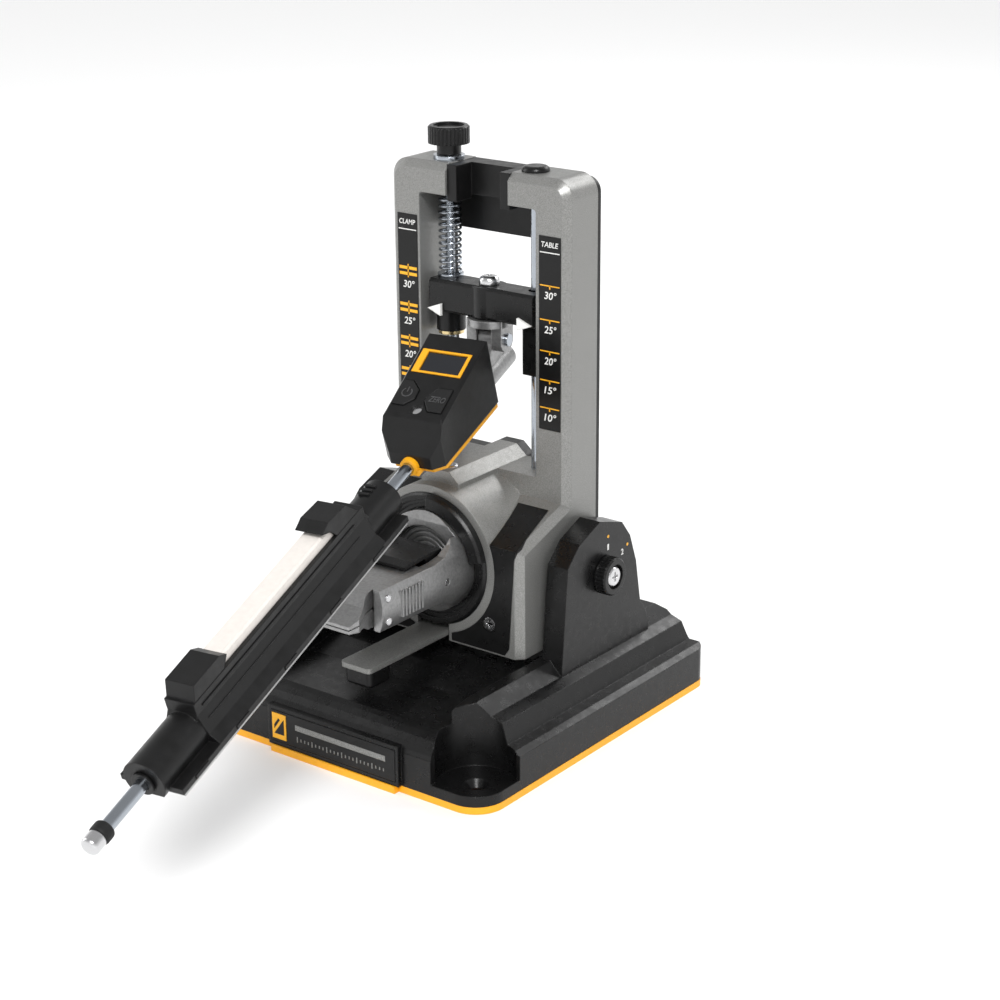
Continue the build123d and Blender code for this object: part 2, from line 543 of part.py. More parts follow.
with BuildPart() as lift_spring:
    with BuildLine() as coil:
        Helix(SPRING_PITCH, SPRING_TURNS * SPRING_PITCH, SPRING_R, center=(-COLUMN_X, COLUMN_Y, BAR_TOP + 1.75))
    with BuildSketch(Plane(origin=coil.line @ 0, z_dir=coil.line % 0)):
        Circle(0.5)
    sweep(is_frenet=True)
save("lift_spring", lift_spring.part)

# ================================================================ swivel under the carriage
with BuildPart() as clevis:
    upright(0, 0, 160.6, 163.7, 9.0)
    slab(-8.0, 8.0, -5.2, 5.2, 160.6, 163.7)
    for x0, x1 in ((-8.0, -3.5), (3.5, 8.0)):
        slab(x0, x1, -5.2, 5.2, 153, 161)
        along_x(0, PITCH_PIN_Z, x0, x1, 5.2)
    along_x(0, PITCH_PIN_Z, -8.0, 8.0, PITCH_PIN_R, Mode.SUBTRACT)
    upright(0, 0, 159, 165, SWIVEL_R, Mode.SUBTRACT)
save("clevis", SWIVEL_POSE * clevis.part)

with BuildPart() as swivel_screw:
    upright(0, 0, 160.6, BAR_TOP + 0.3, SWIVEL_R)
    upright(0, 0, BAR_TOP + 0.3, BAR_TOP + 3.6, 4.3)
    fillet(swivel_screw.edges().group_by(Axis.Z)[-1], 2.2)
    cross_recess(Plane(origin=(0, 0, BAR_TOP + 3.6), x_dir=(1, 0, 0), z_dir=(0, 0, 1)), 2.2, 1.0)
save("swivel_screw", SWIVEL_POSE * swivel_screw.part)

with BuildPart() as pitch_pin:
    along_x(0, PITCH_PIN_Z, -9.0, 9.0, PITCH_PIN_R)
    for x0, x1 in ((-9.2, -8.0), (8.0, 9.2)):
        along_x(0, PITCH_PIN_Z, x0, x1, 2.6)
save("pitch_pin", SWIVEL_POSE * pitch_pin.part)

# ================================================================ guide rod, drawn level toward the user
PIN_DROP = PITCH_PIN_Z - ROD_START_Z
PIN_BACK = PIN_DROP * sin(radians(ROD_PITCH))
PIN_UP = PIN_DROP * cos(radians(ROD_PITCH))

with BuildPart() as rod_hub:
    along_y(0, 0, -SENSOR_BACK, 14, 5.3)
    chamfer(rod_hub.edges().group_by(Axis.Y)[-1], 0.8)
    with BuildSketch(side_plane(-3.2)):
        outline((-8, 2), (PIN_BACK - 4.2, PIN_UP), (PIN_BACK + 4.2, PIN_UP), (12, 2))
        with Locations((PIN_BACK, PIN_UP)):
            Circle(4.3)
    extrude(amount=6.4)
    along_x(PIN_BACK, PIN_UP, -4, 4, PITCH_PIN_R + RUNNING, Mode.SUBTRACT)
    along_y(0, 0, -SENSOR_BACK, -SENSOR_BACK + 10, ROD_R, Mode.SUBTRACT)
save("rod_hub", ROD_POSE * rod_hub.part)

with BuildPart() as guide_rod:
    along_y(0, 0, -ROD_END - 3, -SENSOR_BACK + 10, ROD_R)
save("guide_rod", ROD_POSE * guide_rod.part)

with BuildPart() as rod_bumper:
    along_y(0, 0, -ROD_END, -ROD_END + 5, 3.9)
    fillet(rod_bumper.edges().group_by(Axis.Y)[0] + rod_bumper.edges().group_by(Axis.Y)[-1], 1.2)
    along_y(0, 0, -ROD_END, -ROD_END + 5, ROD_R, Mode.SUBTRACT)
save("rod_bumper", ROD_POSE * rod_bumper.part)

with BuildPart() as rod_cap:
    along_y(0, 0, -ROD_END - 5.3, -ROD_END, 3.5)
    fillet(rod_cap.edges().group_by(Axis.Y)[0], 1.4)
    along_y(0, 0, -ROD_END - 3, -ROD_END, ROD_R, Mode.SUBTRACT)
save("rod_cap", ROD_POSE * rod_cap.part)

# ---------------------------------------------------------------- angle gauge
WEDGE = radians(SENSOR_WEDGE)
FACE_TILT = Plane(
    origin=(0, -SENSOR_BACK, SENSOR_TOP), x_dir=(1, 0, 0), z_dir=(0, -sin(WEDGE), cos(WEDGE))
)


def on_face(depth):
    """Plane parallel to the display face, at a depth below it."""
    return FACE_TILT.offset(-depth)


def face_cut(x, down, radius, d0, d1):
    """Round hole square to the display face between two depths."""
    with BuildSketch(on_face(d1)) as hole:
        with Locations((x, -down)):
            Circle(radius)
    extrude(hole.sketch, amount=d1 - d0, mode=Mode.SUBTRACT)


def face_box(x, down, width, length, d0, d1, mode=Mode.ADD):
    """Box square to the display face between two depths."""
    with BuildSketch(on_face(d1)) as block:
        with Locations((x, -down)):
            Rectangle(width, length)
    extrude(block.sketch, amount=d1 - d0, mode=mode)


with BuildPart() as sensor_housing:
    with BuildSketch(side_plane(-SENSOR_HALF)):
        outline((-18.6, -1), (-18.6, 29), (-60.4, 17.65), (-64.2, 11), (-68, 4.5), (-68, -1))
    extrude(amount=2 * SENSOR_HALF)
    front = sensor_housing.edges().filter_by(Axis.Z).group_by(Axis.Y)[0]
    chamfer(front, 4)
    chamfer(sensor_housing.faces().sort_by(Axis.Z)[-1].edges(), 1.0)
    with BuildPart(mode=Mode.PRIVATE) as room:
        with BuildSketch(side_plane(-12.2)):
            outline((-20.8, 5.5), (-20.8, 26.2), (-58.6, 15.9), (-61, 10.5), (-63.5, 5.5))
        extrude(amount=24.4)
        with BuildSketch(on_face(20)):
            with Locations((0, -SCREW_DOWN)):
                Circle(3.2)
        extrude(amount=22, mode=Mode.SUBTRACT)
    add(room.part, mode=Mode.SUBTRACT)
    face_box(0, 15.2, 22.2, 12.2, -1, 4, Mode.SUBTRACT)
    for shape in (POWER_SHAPE, ZERO_SHAPE):
        with BuildSketch(on_face(4)):
            Polygon(*shape, align=None)
            offset(amount=BUTTON_GAP, kind=Kind.INTERSECTION)
        extrude(amount=5, mode=Mode.SUBTRACT)
    face_cut(0, SCREW_DOWN, 2.3, -1, 2)
    face_cut(0, SCREW_DOWN, 1.2, -1, 12)
    along_y(0, 0, -70, -SENSOR_BACK, ROD_R, Mode.SUBTRACT)
save("sensor_housing", ROD_POSE * sensor_housing.part)

with BuildPart() as sensor_base:
    slab(-12.6, 12.6, -66, -SENSOR_BACK, -3.6, -1)
    chamfer(sensor_base.edges().filter_by(Axis.Z).group_by(Axis.Y)[0], 4)
    slab(-4, 4, -70, -66, -3.6, -1)
    along_y(0, 0, -70.4, -68, 3.7)
    along_y(0, 0, -72, -SENSOR_BACK, ROD_R, Mode.SUBTRACT)
save("sensor_base", ROD_POSE * sensor_base.part)

with BuildPart() as display_bezel:
    face_box(0, 15.2, 22.2, 12.2, -0.3, 2.0)
    face_box(0.75, 15.2, 17.9, 10.2, -1, 3, Mode.SUBTRACT)
save("display_bezel", ROD_POSE * display_bezel.part)

with BuildPart() as display_lens:
    face_box(0.75, 15.2, 17.9, 10.2, 0.3, 2.0)
save("display_lens", ROD_POSE * display_lens.part)

with BuildPart() as circuit_board:
    face_box(0, 19, 21, 24.6, 6.4, 7.6)
    face_box(0.75, 15.2, 16, 9, 2.0, 6.4)
save("circuit_board", ROD_POSE * circuit_board.part)

with BuildPart() as coin_cell:
    upright(0, -33, 5.5, 8.7, 10)
save("coin_cell", ROD_POSE * coin_cell.part)

with BuildPart() as sensor_screw:
    with BuildSketch(on_face(11)):
        with Locations((0, -SCREW_DOWN)):
            Circle(1.2)
    extrude(amount=9)
    with BuildSketch(on_face(2)):
        with Locations((0, -SCREW_DOWN)):
            Circle(2.3)
    extrude(amount=0.9)
save("sensor_screw", ROD_POSE * sensor_screw.part)

with BuildPart() as power_button:
    with BuildSketch(on_face(4.8)):
        Polygon(*POWER_SHAPE, align=None)
    extrude(amount=5.4)
    chamfer(power_button.edges().group_by(Axis((0, 0, 0), FACE_TILT.z_dir))[-1], 0.3)
save("power_button", ROD_POSE * power_button.part)

with BuildPart() as zero_button:
    with BuildSketch(on_face(4.8)):
        Polygon(*ZERO_SHAPE, align=None)
    extrude(amount=5.4)
    chamfer(zero_button.edges().group_by(Axis((0, 0, 0), FACE_TILT.z_dir))[-1], 0.3)
save("zero_button", ROD_POSE * zero_button.part)

# ---------------------------------------------------------------- sliding sleeve and stone holder
with BuildPart() as holder_sleeve:
    along_y(0, 0, -256, -89, SLEEVE_R)
    along_y(0, 0, -90, -89, 4.5)
    along_y(0, 0, -256, -255, 4.5)
    along_y(0, 0, -257, -88, ROD_R + RUNNING, Mode.SUBTRACT)
    along_y(0, 0, -240, -105, ROD_R + 0.5, Mode.SUBTRACT)
save("holder_sleeve", ROD_POSE * holder_sleeve.part)

with BuildPart() as holder_body:
    with BuildSketch(facing_user(-112)):
        outline(
            (-13, -5), (-13, -2.6), (-9.2, 0.5), (-7.4, 5), (-6.2, 8), (-6.2, 13), (6.2, 13), (6.2, 8),
            (7.4, 5), (9.2, 0.5), (13, -2.6), (13, -5),
        )
    extrude(amount=116)
    slab(-13, 13, -PLATE_END - 0.8, -PLATE_START + 0.8, -5, -2.6)
    along_y(0, 0, -HOLDER_END, -HOLDER_START, 8.4)
    slab(-13, 13, -HOLDER_END, -HOLDER_START, -9, -5, Mode.SUBTRACT)
    with BuildSketch(side_plane(-6)):
        outline((-109, 5), (-111, 8.5), (-122, 20.5), (-134, 21.4), (-139, 19.2), (-134, 17), (-128, 10), (-120, 5))
        outline((-229, 5), (-228.6, 6.4), (-225, 19.2), (-209, 19.4), (-205, 17), (-211, 10), (-215, 5))
    extrude(amount=12)
    slab(-4.5, 4.5, -220, -119, 13, 17.1, Mode.SUBTRACT)
    along_y(0, 0, -256, -88, SLEEVE_R + RUNNING, Mode.SUBTRACT)
    for y in MAGNET_Y:
        upright(9, y, -5, -3.6, 2.6, Mode.SUBTRACT)
        upright(-9, y, -5, -3.6, 2.6, Mode.SUBTRACT)
save("holder_body", ROD_POSE * holder_body.part)

with BuildPart() as ceramic_stone:
    slab(-4.5, 4.5, -220, -119, 13, 17.1)
    chamfer(ceramic_stone.edges().filter_by(Axis.Y).group_by(Axis.Z)[-1], 0.8)
save("ceramic_stone", ROD_POSE * ceramic_stone.part)

with BuildPart() as diamond_plate:
    slab(-PLATE_HALF, PLATE_HALF, -PLATE_END, -PLATE_START, PLATE_UNDER, -5)
save("diamond_plate", ROD_POSE * diamond_plate.part)

with BuildPart() as plate_magnets:
    for y in MAGNET_Y:
        for x in (-9, 9):
            upright(x, y, -5, -3.6, 2.6)
save("plate_magnets", ROD_POSE * plate_magnets.part)

# ================================================================ turning clamp
with BuildPart() as clamp_body:
    along_y(0, HUB_Z, -34.5, -31.2, FLANGE_R)
    chamfer(clamp_body.edges().group_by(Axis.Y)[0], 0.8)
    along_y(0, HUB_Z, -32, 12.3, SHAFT_R)
    along_y(0, HUB_Z, 12, 16.4, 4.0)
    with BuildPart(mode=Mode.PRIVATE) as arms:
        along_y(0, HUB_Z, ARM_FRONT, -37, ARM_OUT)
        along_y(0, HUB_Z, -37, -33, FLANGE_R)
        with BuildSketch(side_plane(-30)):
            with Locations((0, HUB_Z)):
                Polygon(
                    (ARM_FRONT, -8.5), (-58, -8.5), (-51, -9.6), (-45, -12.6), (-41, -16.2),
                    (-37.5, -22.5), (-33, -22.5), (-33, 22.5), (-37.5, 22.5),
                    (-41, 16.2), (-45, 12.6), (-51, 9.6), (-58, 8.5), (ARM_FRONT, 8.5),
                    align=None,
                )
        extrude(amount=60, mode=Mode.INTERSECT)
        along_y(0, HUB_Z, ARM_FRONT - 1, -34.5, ARM_IN, Mode.SUBTRACT)
        slab(-ARM_IN, ARM_IN, ARM_FRONT - 1, -44, HUB_Z - 13, HUB_Z + 13, Mode.SUBTRACT)
        slab(-ARM_IN, ARM_IN, -45, -40, HUB_Z + 3, HUB_Z + 23, Mode.SUBTRACT)
        fillet(arms.edges().filter_by(Axis.Z).group_by(Axis.Y)[0], 2.4)
        for y in range(-80, -66, 2):
            for x in (-ARM_OUT, ARM_OUT):
                slab(x - 0.9, x + 0.5, y - 0.5, y + 0.5, HUB_Z - 5.5, HUB_Z + 5.5)
    add(arms.part)
    for z in (HUB_Z - JAW_PIN_RISE, HUB_Z + JAW_PIN_RISE):
        along_x(JAW_PIN_Y, z, -23, 23, PITCH_PIN_R, Mode.SUBTRACT)
    along_x(CAM_Y, HUB_Z, -23, 23, PITCH_PIN_R, Mode.SUBTRACT)
save("clamp_body", clamp_body.part)

with BuildPart() as hub_disc:
    along_y(0, HUB_Z, -38, -34.5, 15.4)
    for radius in (14.4, 12.4, 10.4, 8.4, 6.4):
        along_y(0, HUB_Z, -38.1, -37.3, radius + 0.35, Mode.SUBTRACT)
        along_y(0, HUB_Z, -38, -37.3, radius - 0.35)
save("hub_disc", hub_disc.part)

with BuildPart() as clamp_nut:
    along_y(0, HUB_Z, 12.3, 16.4, 11)
    along_y(0, HUB_Z, 12, 17, 4.0, Mode.SUBTRACT)
save("clamp_nut", clamp_nut.part)

with BuildPart() as jaw_pins:
    for z in (HUB_Z - JAW_PIN_RISE, HUB_Z + JAW_PIN_RISE):
        along_x(JAW_PIN_Y, z, -21.4, 21.4, PITCH_PIN_R)
    along_x(CAM_Y, HUB_Z, -21.4, 21.4, PITCH_PIN_R)
save("jaw_pins", jaw_pins.part)


def build_jaw():
    """Upper jaw at rest; the lower one is its mirror image in the parting plane."""
    with BuildPart() as jaw:
        with BuildSketch(side_plane(-JAW_HALF)):
            outline(
                (JAW_TIP, 0.2), (JAW_TIP, 1.5), (-100, 4.0), (-94, 7.6), (-84, 8.2), (-47, 8.2), (-47, 5.5),
                (-85, 5.5), (-91, 0.2),
            )
        extrude(amount=2 * JAW_HALF)
        with BuildSketch(Plane.XY.offset(-1)):
            outline(
                (-JAW_HALF, JAW_TIP), (JAW_HALF, JAW_TIP), (JAW_HALF, -107), (16.5, -96.5), (15.2, -92),
                (15.2, -62), (8.5, -60), (8.5, -47), (-8.5, -47), (-8.5, -60), (-15.2, -62), (-15.2, -92),
                (-16.5, -96.5), (-JAW_HALF, -107),
            )
        extrude(amount=12, mode=Mode.INTERSECT)
        along_x(JAW_PIN_Y, JAW_PIN_RISE, -15.2, 15.2, 3.2)
        slab(-20, 20, -96, -80, -3, 0.2, Mode.SUBTRACT)
        along_x(JAW_PIN_Y, JAW_PIN_RISE, -16, 16, PITCH_PIN_R + RUNNING, Mode.SUBTRACT)
    return jaw.part


jaw = build_jaw()
save("upper_jaw", Pos(0, 0, HUB_Z) * jaw)
save("lower_jaw", Pos(0, 0, HUB_Z) * mirror(jaw, about=Plane.XY))

with BuildPart() as cam_lever:
    with BuildSketch(side_plane(-14.6)):
        outline((-57, 10.0), (-57, 8.8), (-54, 0), (-50, 0), (-47, 8.8), (-47, 11.4), (-66, 11.4), (-70, 10.2), (-70, 9.0))
        with Locations((CAM_Y, 0)):
            Circle(2.8)
    extrude(amount=29.2)
    slab(-9.2, 9.2, -72, -44, -4, 8.8, Mode.SUBTRACT)
    with BuildSketch(side_plane(-9.2)):
        with Locations((CAM_Y, 0)):
            Ellipse(2.4, 4.8)
    extrude(amount=18.4)
    along_x(CAM_Y, 0, -15, 15, PITCH_PIN_R + RUNNING, Mode.SUBTRACT)
save("cam_lever", Pos(0, 0, HUB_Z) * cam_lever.part)
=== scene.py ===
import json
import math

import bpy
from mathutils import Matrix, Vector


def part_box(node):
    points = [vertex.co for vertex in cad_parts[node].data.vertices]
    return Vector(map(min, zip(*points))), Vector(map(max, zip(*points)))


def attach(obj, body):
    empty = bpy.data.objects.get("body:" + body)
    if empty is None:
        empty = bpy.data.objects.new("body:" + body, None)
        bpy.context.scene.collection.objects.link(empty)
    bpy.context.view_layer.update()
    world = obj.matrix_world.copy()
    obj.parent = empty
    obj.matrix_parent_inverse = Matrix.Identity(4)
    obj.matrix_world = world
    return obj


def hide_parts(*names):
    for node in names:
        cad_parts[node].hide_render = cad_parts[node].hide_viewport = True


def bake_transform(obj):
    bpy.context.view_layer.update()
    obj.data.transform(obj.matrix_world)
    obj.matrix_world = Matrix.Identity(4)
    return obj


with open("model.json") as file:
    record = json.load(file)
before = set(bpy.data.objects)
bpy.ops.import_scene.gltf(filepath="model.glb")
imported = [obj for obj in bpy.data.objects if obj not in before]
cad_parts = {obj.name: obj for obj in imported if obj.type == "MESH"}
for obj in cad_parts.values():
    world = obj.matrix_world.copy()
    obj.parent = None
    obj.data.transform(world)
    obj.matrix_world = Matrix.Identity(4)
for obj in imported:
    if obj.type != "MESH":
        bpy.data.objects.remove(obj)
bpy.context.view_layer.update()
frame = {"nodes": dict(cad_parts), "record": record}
nodes = frame["nodes"]
slot_of = {part["node"]: part["material_slot"] for part in frame["record"]["subparts"]}
MM = 0.001
EDGE_SOFTNESS = 0.6 * MM       # radius that the shading rounds each edge to


# ------------------------------------------------------------------ node helpers
class Paint:
    """A node material being built, with the few nodes this scene uses."""

    def __init__(self, name, color, rough, metal=0.0, **sockets):
        self.mat = bpy.data.materials.new(name)
        self.mat.use_nodes = True
        self.tree = self.mat.node_tree
        self.tree.nodes.clear()
        self.out = self.add("ShaderNodeOutputMaterial")
        self.shader = self.add("ShaderNodeBsdfPrincipled")
        self.link(self.shader, "BSDF", self.out, "Surface")
        self.shader.inputs["Base Color"].default_value = (*color, 1)
        self.shader.inputs["Roughness"].default_value = rough
        self.shader.inputs["Metallic"].default_value = metal
        for key, value in sockets.items():
            self.shader.inputs[key.replace("_", " ")].default_value = value
        self.coords = None
        self.surface = self.add("ShaderNodeBevel", samples=3)
        self.surface.inputs["Radius"].default_value = EDGE_SOFTNESS
        self.link(self.surface, "Normal", self.shader, "Normal")

    def add(self, kind, **values):
        node = self.tree.nodes.new(kind)
        for key, value in values.items():
            setattr(node, key, value)
        return node

    def link(self, a, out, b, into):
        self.tree.links.new(a.outputs[out], b.inputs[into])

    def place(self):
        if self.coords is None:
            self.coords = self.add("ShaderNodeTexCoord")
        return self.coords

    def noise(self, scale, detail=3.0):
        node = self.add("ShaderNodeTexNoise")
        node.inputs["Scale"].default_value = scale
        node.inputs["Detail"].default_value = detail
        self.link(self.place(), "Object", node, "Vector")
        return node

    def rough_noise(self, scale, low, high):
        """Roughness that wanders between low and high."""
        span = self.add("ShaderNodeMapRange")
        span.inputs["From Min"].default_value = 0.3
        span.inputs["From Max"].default_value = 0.7
        span.inputs["To Min"].default_value = low
        span.inputs["To Max"].default_value = high
        self.link(self.noise(scale), "Fac", span, "Value")
        self.link(span, "Result", self.shader, "Roughness")
        return self

    def color_noise(self, scale, dark, light):
        """Base colour mottled between dark and light."""
        ramp = self.add("ShaderNodeValToRGB")
        ramp.color_ramp.elements[0].position = 0.32
        ramp.color_ramp.elements[1].position = 0.68
        ramp.color_ramp.elements[0].color = (*dark, 1)
        ramp.color_ramp.elements[1].color = (*light, 1)
        self.link(self.noise(scale), "Fac", ramp, "Fac")
        self.link(ramp, "Color", self.shader, "Base Color")
        return self

    def bump(self, scale, strength, distance):
        """Fine grain over the softened edges."""
        node = self.add("ShaderNodeBump")
        node.inputs["Strength"].default_value = strength
        node.inputs["Distance"].default_value = distance
        self.link(self.noise(scale, detail=4.0), "Fac", node, "Height")
        self.link(self.surface, "Normal", node, "Normal")
        self.surface = node
        self.link(node, "Normal", self.shader, "Normal")
        return self


def black_plastic(name, tone, rough, grain):
    paint = Paint(name, (tone, tone, tone * 1.04), rough[0], Specular_IOR_Level=0.3)
    paint.color_noise(140, (tone * 0.85,) * 3, (tone * 1.2, tone * 1.2, tone * 1.25))
    return paint.rough_noise(260, *rough).bump(2600, grain, 0.00006).mat


def bright_metal(name, color, rough):
    paint = Paint(name, color, rough[0], 1.0)
    paint.color_noise(60, tuple(c * 0.92 for c in color), color)
    return paint.rough_noise(900, *rough).bump(1800, 0.08, 0.00004).mat


def silver_paint():
    paint = Paint("silver_paint", (0.23, 0.23, 0.22), 0.4, 0.5, Coat_Weight=0.1, Coat_Roughness=0.35)
    paint.color_noise(3200, (0.15, 0.15, 0.144), (0.29, 0.29, 0.28))
    return paint.rough_noise(500, 0.32, 0.42).bump(3800, 0.16, 0.00005).mat


def grey_cast(name, tone):
    paint = Paint(name, (tone, tone, tone), 0.38, 0.85)
    paint.color_noise(900, (tone * 0.86,) * 3, (tone * 1.08,) * 3)
    return paint.rough_noise(700, 0.3, 0.44).bump(2400, 0.2, 0.00006).mat


def flat_paint(name, color, rough):
    paint = Paint(name, color, rough)
    paint.color_noise(400, tuple(c * 0.94 for c in color), color)
    return paint.rough_noise(500, rough - 0.05, rough + 0.07).bump(2200, 0.1, 0.00004).mat


def display_glass():
    paint = Paint("display_glass", (0.003, 0.004, 0.007), 0.12, Coat_Weight=0.4)
    return paint.rough_noise(300, 0.08, 0.16).mat


materials = {
    "base_plastic": black_plastic("base_plastic", 0.004, (0.24, 0.36), 0.22),
    "yellow_plastic": flat_paint("yellow_plastic", (0.82, 0.37, 0.006), 0.4),
    "black_rubber": black_plastic("black_rubber", 0.006, (0.5, 0.65), 0.5),
    "plated_screw": bright_metal("plated_screw", (0.66, 0.66, 0.67), (0.14, 0.26)),
    "badge_print": black_plastic("badge_print", 0.004, (0.3, 0.4), 0.15),
    "yellow_label": flat_paint("yellow_label", (0.88, 0.42, 0.008), 0.4),
    "black_fittings": black_plastic("black_fittings", 0.004, (0.24, 0.36), 0.2),
    "nylon_washer": black_plastic("nylon_washer", 0.06, (0.4, 0.5), 0.2),
    "silver_paint": silver_paint(),
    "black_cover": black_plastic("black_cover", 0.004, (0.3, 0.42), 0.3),
    "scale_print": black_plastic("scale_print", 0.003, (0.32, 0.42), 0.1),
    "black_trim": black_plastic("black_trim", 0.004, (0.26, 0.36), 0.25),
    "chrome_steel": bright_metal("chrome_steel", (0.4, 0.43, 0.47), (0.1, 0.2)),
    "brass_nut": bright_metal("brass_nut", (0.75, 0.6, 0.32), (0.2, 0.3)),
    "white_print": flat_paint("white_print", (0.8, 0.8, 0.78), 0.45),
    "grey_cast": grey_cast("grey_cast", 0.3),
    "gauge_plastic": black_plastic("gauge_plastic", 0.005, (0.28, 0.4), 0.3),
    "display_glass": display_glass(),
    "board_green": flat_paint("board_green", (0.02, 0.16, 0.05), 0.4),
    "holder_plastic": black_plastic("holder_plastic", 0.006, (0.28, 0.42), 0.35),
    "white_ceramic": flat_paint("white_ceramic", (0.7, 0.66, 0.62), 0.5),
    "diamond_steel": bright_metal("diamond_steel", (0.5, 0.5, 0.5), (0.35, 0.55)),
    "jaw_steel": grey_cast("jaw_steel", 0.34),
}
for name, node in nodes.items():
    node.data.materials.clear()
    node.data.materials.append(materials[slot_of[name]])


# ------------------------------------------------------------------ trim panels stand a little proud
proud = nodes["trim_panels"].modifiers.new("proud", "DISPLACE")
proud.strength = 0.2 * MM
proud.mid_level = 0.0

# ------------------------------------------------------------------ printed and raised marks
def plane_at(origin, across, up):
    """Drawing plane: x runs across, y runs up, z stands off the surface."""
    across, up = Vector(across).normalized(), Vector(up).normalized()
    rows = Matrix((across, up, across.cross(up))).transposed().to_4x4()
    return Matrix.Translation(origin) @ rows


class Relief:
    """Thin raised shapes on one plane, in millimetres, made into one piece."""

    def __init__(self, plane):
        self.plane = plane
        self.verts = []
        self.faces = []

    def put(self, points, faces):
        first = len(self.verts)
        self.verts += [self.plane @ (Vector(p) * MM) for p in points]
        self.faces += [[first + k for k in face] for face in faces]

    def prism(self, outline, low, high):
        count = len(outline)
        points = [(x, y, low) for x, y in outline] + [(x, y, high) for x, y in outline]
        sides = [[k, (k + 1) % count, (k + 1) % count + count, k + count] for k in range(count)]
        self.put(points, [list(range(count))[::-1], [k + count for k in range(count)], *sides])

    def bar(self, x, y, width, height, high=0.06):
        w, h = width / 2, height / 2
        self.prism([(x - w, y - h), (x + w, y - h), (x + w, y + h), (x - w, y + h)], 0, high)

    def arc(self, x, y, radius, width, start, end, high, steps=28):
        angles = [math.radians(start + (end - start) * k / steps) for k in range(steps + 1)]
        inside, outside = radius - width / 2, radius + width / 2
        outer = [(x + outside * math.cos(a), y + outside * math.sin(a)) for a in angles]
        inner = [(x + inside * math.cos(a), y + inside * math.sin(a)) for a in angles]
        for k in range(steps):
            self.prism([inner[k], outer[k], outer[k + 1], inner[k + 1]], 0, high)

    def text(self, words, x, y, width, height, high=0.06, slant=0.15, weight=0.012):
        curve = bpy.data.curves.new("letters", "FONT")
        curve.body = words
        curve.extrude = 0.1
        curve.shear = slant
        curve.offset = weight
        curve.resolution_u = 4
        letters = bpy.data.objects.new("letters", curve)
        bpy.context.scene.collection.objects.link(letters)
        graph = bpy.context.evaluated_depsgraph_get()
        mesh = bpy.data.meshes.new_from_object(letters.evaluated_get(graph))
        xs = [v.co.x for v in mesh.vertices]
        ys = [v.co.y for v in mesh.vertices]
        kx, ky = width / (max(xs) - min(xs)), height / (max(ys) - min(ys))
        mid_x, mid_y = (max(xs) + min(xs)) / 2, (max(ys) + min(ys)) / 2
        points = []
        for vert in mesh.vertices:
            level = high if vert.co.z > 0 else 0
            points.append((x + (vert.co.x - mid_x) * kx, y + (vert.co.y - mid_y) * ky, level))
        self.put(points, [list(p.vertices) for p in mesh.polygons])
        bpy.data.objects.remove(letters)
        bpy.data.meshes.remove(mesh)

    def piece(self, name, body, slot):
        mesh = bpy.data.meshes.new(name)
        mesh.from_pydata([tuple(v) for v in self.verts], [], self.faces)
        made = bpy.data.objects.new(name, mesh)
        bpy.context.scene.collection.objects.link(made)
        mesh.materials.append(materials[slot])
        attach(made, body)
        return made


def box_mm(name):
    low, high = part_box(name)
    return Vector(low) / MM, Vector(high) / MM


HEADER_DROP = 3.3
HEADER_LINE_DROP = 6.5


def scale_strip(node, title, title_width, marks, number_drop, double):
    """White title, line and numbers with yellow marks on one inlaid strip."""
    low, high = box_mm(node)
    mid = (low.x + high.x) / 2
    width = high.x - low.x - 1.1
    face = plane_at((mid * MM, low.y * MM, 0), (1, 0, 0), (0, 0, 1))
    white, yellow = Relief(face), Relief(face)
    white.text(title, 0, high.z - HEADER_DROP, title_width, 2.1)
    white.bar(0, high.z - HEADER_LINE_DROP, width, 0.42)
    for angle, z in marks:
        white.text(f"{angle}\u00b0", 0.3, z - number_drop, 5.9, 3.2)
        if double:
            yellow.bar(0, z + 1.25, width, 1.3)
            yellow.bar(0, z - 1.25, width, 1.3)
            yellow.bar(0, z, 0.55, 5.6)
        else:
            yellow.bar(0, z, width, 0.5)
            yellow.bar(0, z - 0.7, 0.55, 1.4)
    white.piece(node + "_numbers", "frame", "white_print")
    yellow.piece(node + "_marks", "frame", "yellow_label")


def mark_heights(base, run, angles):
    """Each angle with the height of its mark on the strip."""
    return [(angle, base + run * math.tan(math.radians(angle))) for angle in angles]


# each strip has its own base height and run, in mm, for mark_heights
CLAMP_BASE, CLAMP_RUN = 98.48, 140.28
TABLE_BASE, TABLE_RUN = 111.03, 125.63
clamp_marks = mark_heights(CLAMP_BASE, CLAMP_RUN, (15, 20, 25, 30))
table_marks = mark_heights(TABLE_BASE, TABLE_RUN, (10, 15, 20, 25, 30))
scale_strip("clamp_scale", "CLAMP", 8.4, clamp_marks, 5.6, double=True)
scale_strip("table_scale", "TABLE", 8.2, table_marks, 3.9, double=False)

# badge on the front block: a plain wedge sign, a light bar and a row of light ticks
low, high = box_mm("front_badge")
badge = Relief(plane_at((0, low.y * MM, 0), (1, 0, 0), (0, 0, 1)))
BADGE_TICKS = 24
TICK_START, TICK_STEP = -18.3, 1.957
badge.bar(4.2, 13.6, 47, 2.4, high=0.08)
for k in range(BADGE_TICKS):
    badge.bar(TICK_START + k * TICK_STEP, 8.6, 0.55, 2.4 if k % 4 == 0 else 1.3, high=0.08)
badge.piece("badge_bars", "base", "silver_paint")
low, high = box_mm("badge_tile")
tile_middle = ((low.x + high.x) / 2 * MM, low.y * MM, (low.z + high.z) / 2 * MM)
tile = Relief(plane_at(tile_middle, (1, 0, 0), (0, 0, 1)))
tile.prism([(-2.6, -3.4), (2.6, -3.4), (2.6, 3.6)], 0, 0.08)
tile.prism([(-2.6, -1.4), (0.6, 3.0), (-0.3, 3.6), (-2.6, 0.4)], 0, 0.08)
